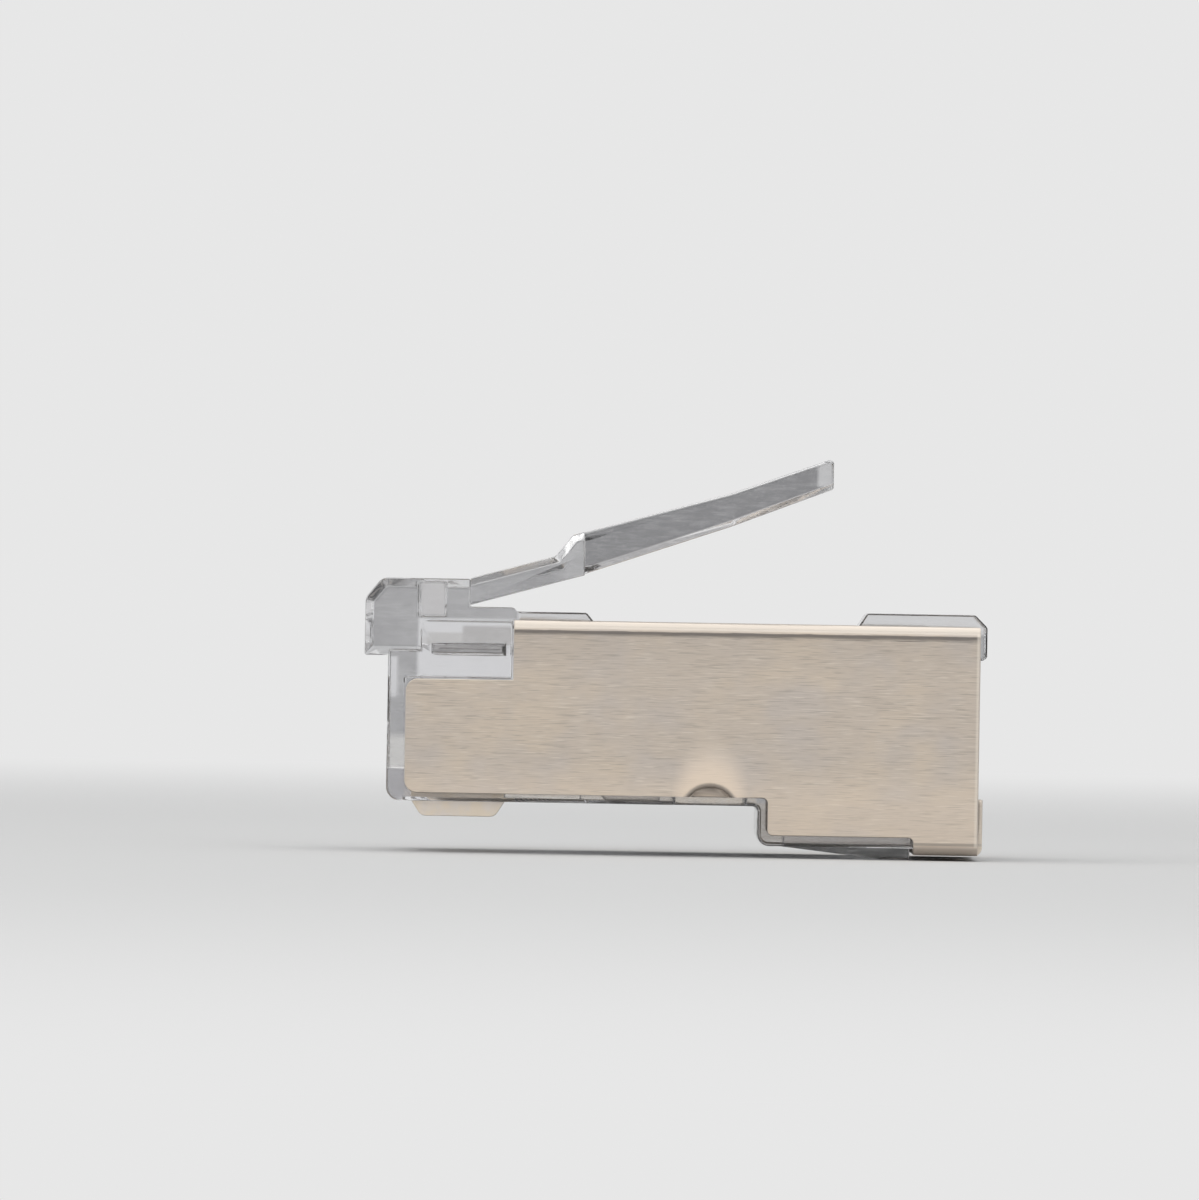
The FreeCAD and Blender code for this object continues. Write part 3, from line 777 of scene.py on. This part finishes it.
def cross(first: Point, second: Point, third: Point, fourth: Point) -> bool:
    """Tells whether two stretches of a flat outline cross.

    Args:
        first: Start of the first stretch; only its first two numbers count, as for the others.
        second: End of the first stretch.
        third: Start of the second stretch.
        fourth: End of the second stretch.

    Returns:
        True when they cross away from their ends.
    """
    def side(start: Point, end: Point, point: Point) -> float:
        """Tells on which side of a line a point lies."""
        return ((end[0] - start[0]) * (point[1] - start[1])
                - (end[1] - start[1]) * (point[0] - start[0]))

    return (side(first, second, third) * side(first, second, fourth) < -CROSSING
            and side(third, fourth, first) * side(third, fourth, second) < -CROSSING)


def spoilt_corners(mesh: bpy.types.Mesh, skin: BVHTree, origins: list[int]) -> set[int]:
    """Finds the corners at which a rounding folds a face over itself.

    Args:
        mesh: The rounded mesh.
        skin: The surface before the rounding.
        origins: For each point of the mesh, the corner that it comes from.

    Returns:
        The corners whose edges have to be rounded less.
    """
    spoilt: set[int] = set()
    for face in mesh.polygons:
        points = list(face.vertices)
        if len(points) <= 4:
            _, normal, _, _ = skin.find_nearest(face.center)
            if face.area > TINY_FACE and face.normal.dot(normal) < 0.0:
                spoilt.update(origins[point] for point in points)
        if len(points) == 3:
            continue
        turn = face.normal.rotation_difference(Vector((0.0, 0.0, 1.0)))
        flat = [tuple(turn @ mesh.vertices[point].co) for point in points]
        count = len(points)
        for one in range(count - 2):
            for two in range(one + 2, count - (one == 0)):
                ends = (one, (one + 1) % count, two, (two + 1) % count)
                if cross(*(flat[end] for end in ends)):
                    spoilt.update(origins[points[end]] for end in ends)
    return spoilt


def round_edges(rough: bpy.types.Mesh, name: str,
                edge: EdgeBreak) -> tuple[bpy.types.Mesh, list[int]]:
    """Rounds the weighted edges of a mesh, once.

    Args:
        rough: Mesh whose points name themselves and whose edges carry weights.
        name: Name for the result.
        edge: How to round the edges.

    Returns:
        The rounded mesh, and for each of its points the corner that it comes from.
    """
    holder = link(f"{name}_rough", rough)
    bevel = holder.modifiers.new("edge_break", "BEVEL")
    bevel.width = edge.radius
    bevel.segments = edge.segments
    bevel.limit_method = "WEIGHT"
    bevel.edge_weight = EDGE_WEIGHT
    bevel.use_clamp_overlap = False
    bevel.loop_slide = False
    graph = bpy.context.evaluated_depsgraph_get()
    mesh = bpy.data.meshes.new_from_object(holder.evaluated_get(graph), depsgraph=graph)
    bpy.data.objects.remove(holder)
    return mesh, [int(corner.value) for corner in mesh.attributes[CORNER].data]


def split_long_edges(work: bmesh.types.BMesh, sharper_than: float) -> None:
    """Splits long sharp edges near both ends, so that easing one end leaves the rest.

    Args:
        work: Mesh in millimetres.
        sharper_than: Angle between faces, in degrees, above which an edge is sharp.
    """
    sharp = [side for side in work.edges
             if side.calc_face_angle(0.0) > math.radians(sharper_than)]
    for side in sharp:
        length = side.calc_length()
        if length > LONG_EDGE:
            far = side.verts[1]
            rest, _ = bmesh.utils.edge_split(side, side.verts[0], EDGE_END / length)
            for part in (side, rest):
                if far in part.verts and part.calc_length() > 2 * EDGE_END:
                    bmesh.utils.edge_split(part, far, EDGE_END / part.calc_length())


def broken_edges(work: bmesh.types.BMesh, name: str, edge: EdgeBreak) -> bpy.types.Mesh:
    """Rounds the sharp edges of a worked mesh and scales it to metres.

    Where the full radius would fold a face over itself, the radius comes down step by step.

    Args:
        work: Mesh in millimetres. It is freed.
        name: Name for the result.
        edge: How to round the edges.

    Returns:
        The finished mesh, in metres, shaded smooth with flat areas kept flat.
    """
    split_long_edges(work, edge.sharper_than)
    names = work.verts.layers.string.new(CORNER)
    weights = work.edges.layers.float.new(EDGE_WEIGHT)
    work.verts.index_update()
    for vertex in work.verts:
        vertex[names] = str(vertex.index).encode()
    for side in work.edges:
        side[weights] = float(side.calc_face_angle(0.0) > math.radians(edge.sharper_than))
    skin = BVHTree.FromBMesh(work)
    corners = [vertex.co.copy() for vertex in work.verts]
    for attempt in range(ROUNDING_ATTEMPTS):
        rough = bpy.data.meshes.new(f"{name}_rough")
        work.to_mesh(rough)
        mesh, origins = round_edges(rough, name, edge)
        spoilt = spoilt_corners(mesh, skin, origins)
        spoilt.update(origin for vertex, origin in zip(mesh.vertices, origins)
                      if (vertex.co - corners[origin]).length > edge.radius * STRAY_REACH)
        bpy.data.meshes.remove(rough)
        log.info("rounding %s, attempt %d: %d corners to ease", name, attempt, len(spoilt))
        if not spoilt or attempt == ROUNDING_ATTEMPTS - 1:
            break
        work.verts.ensure_lookup_table()
        ease = EASING[min(attempt, len(EASING) - 1)]
        for index in spoilt:
            for side in work.verts[index].link_edges:
                side[weights] = side[weights] * ease
        bpy.data.meshes.remove(mesh)
    work.free()
    mesh.attributes.remove(mesh.attributes[CORNER])
    mesh.name = name
    mesh.transform(Matrix.Scale(MM, 4))
    mesh.shade_smooth()
    mesh.set_sharp_from_angle(angle=math.radians(edge.sharper_than))
    return mesh


def finish_piece(name: str, mesh: bpy.types.Mesh, node: str, material: bpy.types.Material) -> bpy.types.Object:
    """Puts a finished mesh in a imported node's place.

    Args:
        name: Name of the piece.
        mesh: Its mesh, in metres.
        node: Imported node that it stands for.
        material: Its finish.

    Returns:
        The piece, which rides on nothing yet.
    """
    mesh.materials.clear()
    mesh.materials.append(material)
    rest = mesh.attributes.new(REST_PLACE, "FLOAT_VECTOR", "POINT")
    for vertex, place in zip(mesh.vertices, rest.data):
        place.vector = vertex.co / MM
    piece = link(name, mesh)
    weighted = piece.modifiers.new("flat_faces", "WEIGHTED_NORMAL")
    weighted.keep_sharp = True
    weighted.weight = FLAT_FACE_WEIGHT
    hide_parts(node)
    return piece


# The plug's pieces ----------------------------------------------------------------------------

@dataclass
class Housing:
    """The clear moulding that everything else sits in."""

    node: str = "housing"
    body: str = "plug_body"
    edge: EdgeBreak = EdgeBreak(radius=0.07, segments=3)
    plastic: ClearPlastic = ClearPlastic(name="clear_housing_plastic", zones=(
        # Painted light and shade, zone by zone: lighter where light and the metal's reflections show through
        # the moulding, darker in the groove, in the recesses and along the bottom near the floor.
        Zone(along=(1.03, 2.04), height=(3.35, 4.80), tone=(0.60, 0.59, 0.60)),
        Zone(along=(1.10, 4.55), height=(1.10, 3.24), tone=(0.74, 0.74, 0.76), soft=0.14),
        Zone(along=(1.45, 2.90), height=(2.42, 2.74), tone=(0.58, 0.57, 0.57), soft=0.12),
        Zone(along=(2.72, 4.42), height=(2.42, 2.98), tone=(0.50, 0.49, 0.49), soft=0.13),
        Zone(along=(1.57, 4.20), height=(2.06, 2.38), tone=(0.22, 0.21, 0.21)),
        Zone(along=(-0.02, 0.26), height=(0.50, 1.85), tone=(0.70, 0.70, 0.72), soft=0.10),
        Zone(along=(-0.02, 0.62), height=(-3.30, -1.20), tone=(0.66, 0.65, 0.64), soft=0.45),
        Zone(along=(0.65, 4.40), height=(-3.40, -2.90), tone=(0.80, 0.76, 0.70), soft=0.02),
        Zone(along=(4.42, 13.40), height=(-3.40, -2.90), tone=(0.58, 0.53, 0.47), soft=0.02),
        Zone(along=(13.42, 19.20), height=(-4.90, -3.20), tone=(0.46, 0.43, 0.40), soft=0.02),
        Zone(along=(4.62, 22.0), height=(3.02, 4.20), tone=(0.72, 0.72, 0.73), soft=0.02),
        Zone(along=(14.40, 19.10), height=(-5.40, -4.80), tone=(0.08, 0.08, 0.08), soft=0.10),
    ))

    def build(self) -> bpy.types.Object:
        """Builds and dresses the housing.

        Returns:
            The housing piece.
        """
        mesh = broken_edges(read_node(self.node), "clear_housing", self.edge)
        piece = finish_piece("clear_housing", mesh, self.node, self.plastic.make())
        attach(piece, self.body)
        return piece


@dataclass
class Latch:
    """The lever, which stands off the housing's nose on its neck."""

    node: str = "latch_lever"
    nose_node: str = "housing"
    fixed_body: str = "plug_body"
    moving_body: str = "latch"
    edge: EdgeBreak = EdgeBreak(radius=0.06, segments=3)
    plastic: ClearPlastic = ClearPlastic(name="clear_latch_plastic", speckle=0.16, zones=(
        # Painted light and shade along the lever: darker over the finger, lighter on its end block and at its
        # neck.
        Zone(along=(7.05, 15.45), height=(4.60, 9.40), tone=(0.25, 0.25, 0.26)),
        Zone(along=(15.56, 16.20), height=(7.70, 9.40), tone=(0.58, 0.58, 0.59), soft=0.05),
        Zone(along=(6.30, 7.02), height=(4.60, 6.30), tone=(0.50, 0.50, 0.51), soft=0.08),
    ))
    nose_above: float = 4.5
    root_gap: float = 0.005
    root_depth: float = 1e-3
    bend_length: float = 0.9
    crease_foot: Pair = (3.15, 4.00)
    crease_slope: float = 0.442
    crease_lean: float = 0.11
    crease_near: float = 0.01
    flank_half: float = 2.9
    flank_facing: float = 0.99

    def build(self) -> bpy.types.Object:
        """Builds and dresses the lever.

        Returns:
            The lever piece.
        """
        low, high = (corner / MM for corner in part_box(self.node))
        nose_rear = self._nose_rear(low.x)
        work = read_node(self.node)
        for vertex in work.verts:
            if vertex.co.x < low.x + self.root_depth:
                vertex.co.x = nose_rear + self.root_gap
        self._crease_flanks(work)
        mesh = broken_edges(work, "clear_latch", self.edge)
        self._sharpen_crease(mesh)
        piece = finish_piece("clear_latch", mesh, self.node, self.plastic.make())
        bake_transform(piece)
        return piece

    def _crease_level(self, along: float) -> float:
        """Height of the crease at a place along the plug, in millimetres."""
        return self.crease_foot[1] + (along - self.crease_foot[0]) * self.crease_slope

    def _crease_flanks(self, work: bmesh.types.BMesh) -> None:
        """Leans the neck's flanks in below a slanting crease.

        Args:
            work: The lever, in millimetres.
        """
        flanks = [face for face in work.faces if abs(face.normal.y) > self.flank_facing
                  and abs(face.calc_center_median().y) > self.flank_half]
        around = dict.fromkeys(part for face in flanks
                               for part in (face, *face.edges, *face.verts))
        bmesh.ops.bisect_plane(work, geom=list(around), dist=MERGE_DISTANCE,
                               plane_co=(self.crease_foot[0], 0.0, self.crease_foot[1]),
                               plane_no=(-self.crease_slope, 0.0, 1.0))
        for vertex in work.verts:
            below = self._crease_level(vertex.co.x) - vertex.co.z
            if abs(vertex.co.y) > self.flank_half and below > 0:
                vertex.co.y -= math.copysign(self.crease_lean * below, vertex.co.y)

    def _sharpen_crease(self, mesh: bpy.types.Mesh) -> None:
        """Keeps the crease crisp in the shading.

        Args:
            mesh: The rounded lever, in metres.
        """
        for edge in mesh.edges:
            ends = (mesh.vertices[end].co / MM for end in edge.vertices)
            if all(abs(end.y) > self.flank_half
                   and abs(end.z - self._crease_level(end.x)) < self.crease_near for end in ends):
                edge.use_edge_sharp = True

    def _nose_rear(self, root: float) -> float:
        """Where the nose ends: the housing's last edge ahead of the lever's root.

        Args:
            root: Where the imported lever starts, in millimetres.

        Returns:
            The place along the plug, in millimetres.
        """
        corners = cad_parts[self.nose_node].data.vertices
        places = {round(corner.co.x / MM, 4) for corner in corners
                  if corner.co.z / MM > self.nose_above}
        return max(place for place in places if place < root)


@dataclass
class Shield:
    """The sheet folded round the housing."""

    node: str = "shield"
    body: str = "plug_body"
    edge: EdgeBreak = EdgeBreak(radius=0.04, segments=2)
    sheet: BrushedSheet = BrushedSheet()

    def build(self) -> bpy.types.Object:
        """Builds and dresses the shield.

        Returns:
            The shield piece.
        """
        mesh = broken_edges(read_node(self.node), "folded_shield", self.edge)
        piece = finish_piece("folded_shield", mesh, self.node, self.sheet.make())
        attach(piece, self.body)
        return piece


@dataclass
class Contacts:
    """The eight blades along the front."""

    count: int = 8
    body: str = "plug_body"
    edge: EdgeBreak = EdgeBreak(radius=0.03, segments=2)
    gold: ContactGold = ContactGold()

    def build(self) -> list[bpy.types.Object]:
        """Builds and dresses the blades.

        Returns:
            The blades, from one flank to the other.
        """
        material = self.gold.make()
        blades = []
        for number in range(1, self.count + 1):
            node = f"contact_{number}"
            mesh = broken_edges(read_node(node), f"blade_{number}", self.edge)
            blade = finish_piece(f"blade_{number}", mesh, node, material)
            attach(blade, self.body)
            blades.append(blade)
        return blades


# Stage, light and camera ----------------------------------------------------------------------

@dataclass
class Stage:
    """Pale paper swept from the floor up behind the part."""

    width: float = 3000.0
    front: float = 1500.0
    back: float = 500.0
    height: float = 1500.0
    sweep: float = 300.0
    steps: int = 24
    paper: StudioPaper = StudioPaper()

    def build(self) -> bpy.types.Object:
        """Builds the sweep at the height of the part's lowest point.

        Returns:
            The paper sweep.
        """
        floor = CAD_BOX[0].z / MM
        profile = [(-self.front, floor)]
        for step in range(self.steps + 1):
            turn = math.pi / 2 * step / self.steps
            profile.append((self.back + self.sweep * math.sin(turn),
                            floor + self.sweep * (1 - math.cos(turn))))
        profile.append((self.back + self.sweep, floor + self.height))
        work = bmesh.new()
        rows = [[work.verts.new((side * self.width / 2, y, z)) for y, z in profile]
                for side in (-1, 1)]
        left, right = rows
        for row in range(len(profile) - 1):
            work.faces.new((left[row], right[row], right[row + 1], left[row + 1]))
        bmesh.ops.transform(work, matrix=Matrix.Scale(MM, 4), verts=work.verts)
        mesh = bpy.data.meshes.new("paper_sweep")
        work.to_mesh(mesh)
        work.free()
        mesh.shade_smooth()
        mesh.materials.append(self.paper.make())
        sweep = link("paper_sweep", mesh)
        return sweep


@dataclass(frozen=True)
class Softbox:
    """A rectangular area lamp aimed at the part, by the radiance of its face."""

    name: str
    place: Point
    width: float
    height: float
    radiance: float
    colour: Colour = WARM_WHITE
    aim: Point = (10.0, 0.0, 1.0)

    def build(self) -> bpy.types.Object:
        """Hangs the lamp.

        Returns:
            The lamp.
        """
        lamp = bpy.data.lights.new(self.name, "AREA")
        lamp.shape = "RECTANGLE"
        lamp.size = self.width * MM
        lamp.size_y = self.height * MM
        lamp.energy = self.radiance * math.pi * lamp.size * lamp.size_y
        lamp.color = self.colour
        obj = bpy.data.objects.new(self.name, lamp)
        obj.location = Vector(self.place) * MM
        aim = Vector(self.aim) * MM - obj.location
        obj.rotation_euler = aim.to_track_quat("-Z", "Y").to_euler()
        bpy.context.scene.collection.objects.link(obj)
        return obj


@dataclass
class Studio:
    """Softboxes and the even light of the room."""

    room: Colour = (0.94, 0.97, 1.0)
    room_strength: float = 0.35
    lamps: tuple[Softbox, ...] = (
        Softbox("overhead_softbox", place=(-20.0, 40.0, 420.0), width=620.0, height=560.0,
                radiance=0.95),
        Softbox("sky_softbox", place=(20.0, -505.0, 330.0), width=900.0, height=480.0,
                radiance=0.9),
        Softbox("front_softbox", place=(40.0, -700.0, -10.0), width=700.0, height=240.0,
                radiance=0.76),
        Softbox("side_softbox", place=(-520.0, -240.0, 120.0), width=300.0, height=300.0,
                radiance=1.6, colour=COOL_WHITE),
    )

    def build(self) -> None:
        """Sets the room's light and hangs the softboxes."""
        world = bpy.data.worlds.new("studio_room")
        world.use_nodes = True
        graph = Graph(world.node_tree)
        sockets = {"Color": (*self.room, 1.0), "Strength": self.room_strength}
        room = graph.add("ShaderNodeBackground", None, sockets)
        graph.add("ShaderNodeOutputWorld", None, {"Surface": room[0]})
        bpy.context.scene.world = world
        for lamp in self.lamps:
            lamp.build()


@dataclass
class Viewpoint:
    """The camera: level, square to the plug's flank, with a long lens and a slight roll."""

    centre_x: float = 7.607
    centre_z: float = 4.071
    distance: float = 600.0
    flank: float = -5.84
    field: float = 43.40
    sensor: float = 36.0
    roll: float = 0.97
    clip: Span = (10.0, 20000.0)

    def build(self) -> bpy.types.Object:
        """Sets the camera up.

        Returns:
            The camera.
        """
        data = bpy.data.cameras.new("bench_camera")
        data.sensor_width = self.sensor
        data.lens = self.sensor * self.distance / self.field
        data.clip_start, data.clip_end = (reach * MM for reach in self.clip)
        camera = bpy.data.objects.new("bench_camera", data)
        level = Matrix.Rotation(math.pi / 2, 4, "X")
        tip = Matrix.Rotation(-math.radians(self.roll), 4, "Y")
        place = Vector((self.centre_x, self.flank - self.distance, self.centre_z)) * MM
        camera.matrix_world = Matrix.Translation(place) @ tip @ level
        bpy.context.scene.collection.objects.link(camera)
        bpy.context.scene.camera = camera
        return camera


def report(piece: bpy.types.Object) -> None:
    """Logs a finished piece with the size of its mesh."""
    log.info("%s: %d faces", piece.name, len(piece.data.polygons))


def main() -> None:
    """Builds the pieces in order, then the stage, the light and the camera."""
    logging.basicConfig(level=logging.INFO, format="%(name)s %(message)s")
    bpy.context.scene.view_settings.view_transform = "Standard"
    bpy.context.scene.cycles.max_bounces = LIGHT_BOUNCES
    bpy.context.scene.cycles.transmission_bounces = LIGHT_BOUNCES
    for maker in (Housing(), Latch(), Shield()):
        report(maker.build())
    for blade in Contacts().build():
        report(blade)
    Stage().build()
    Studio().build()
    Viewpoint().build()


if __name__ == "__main__":
    main()
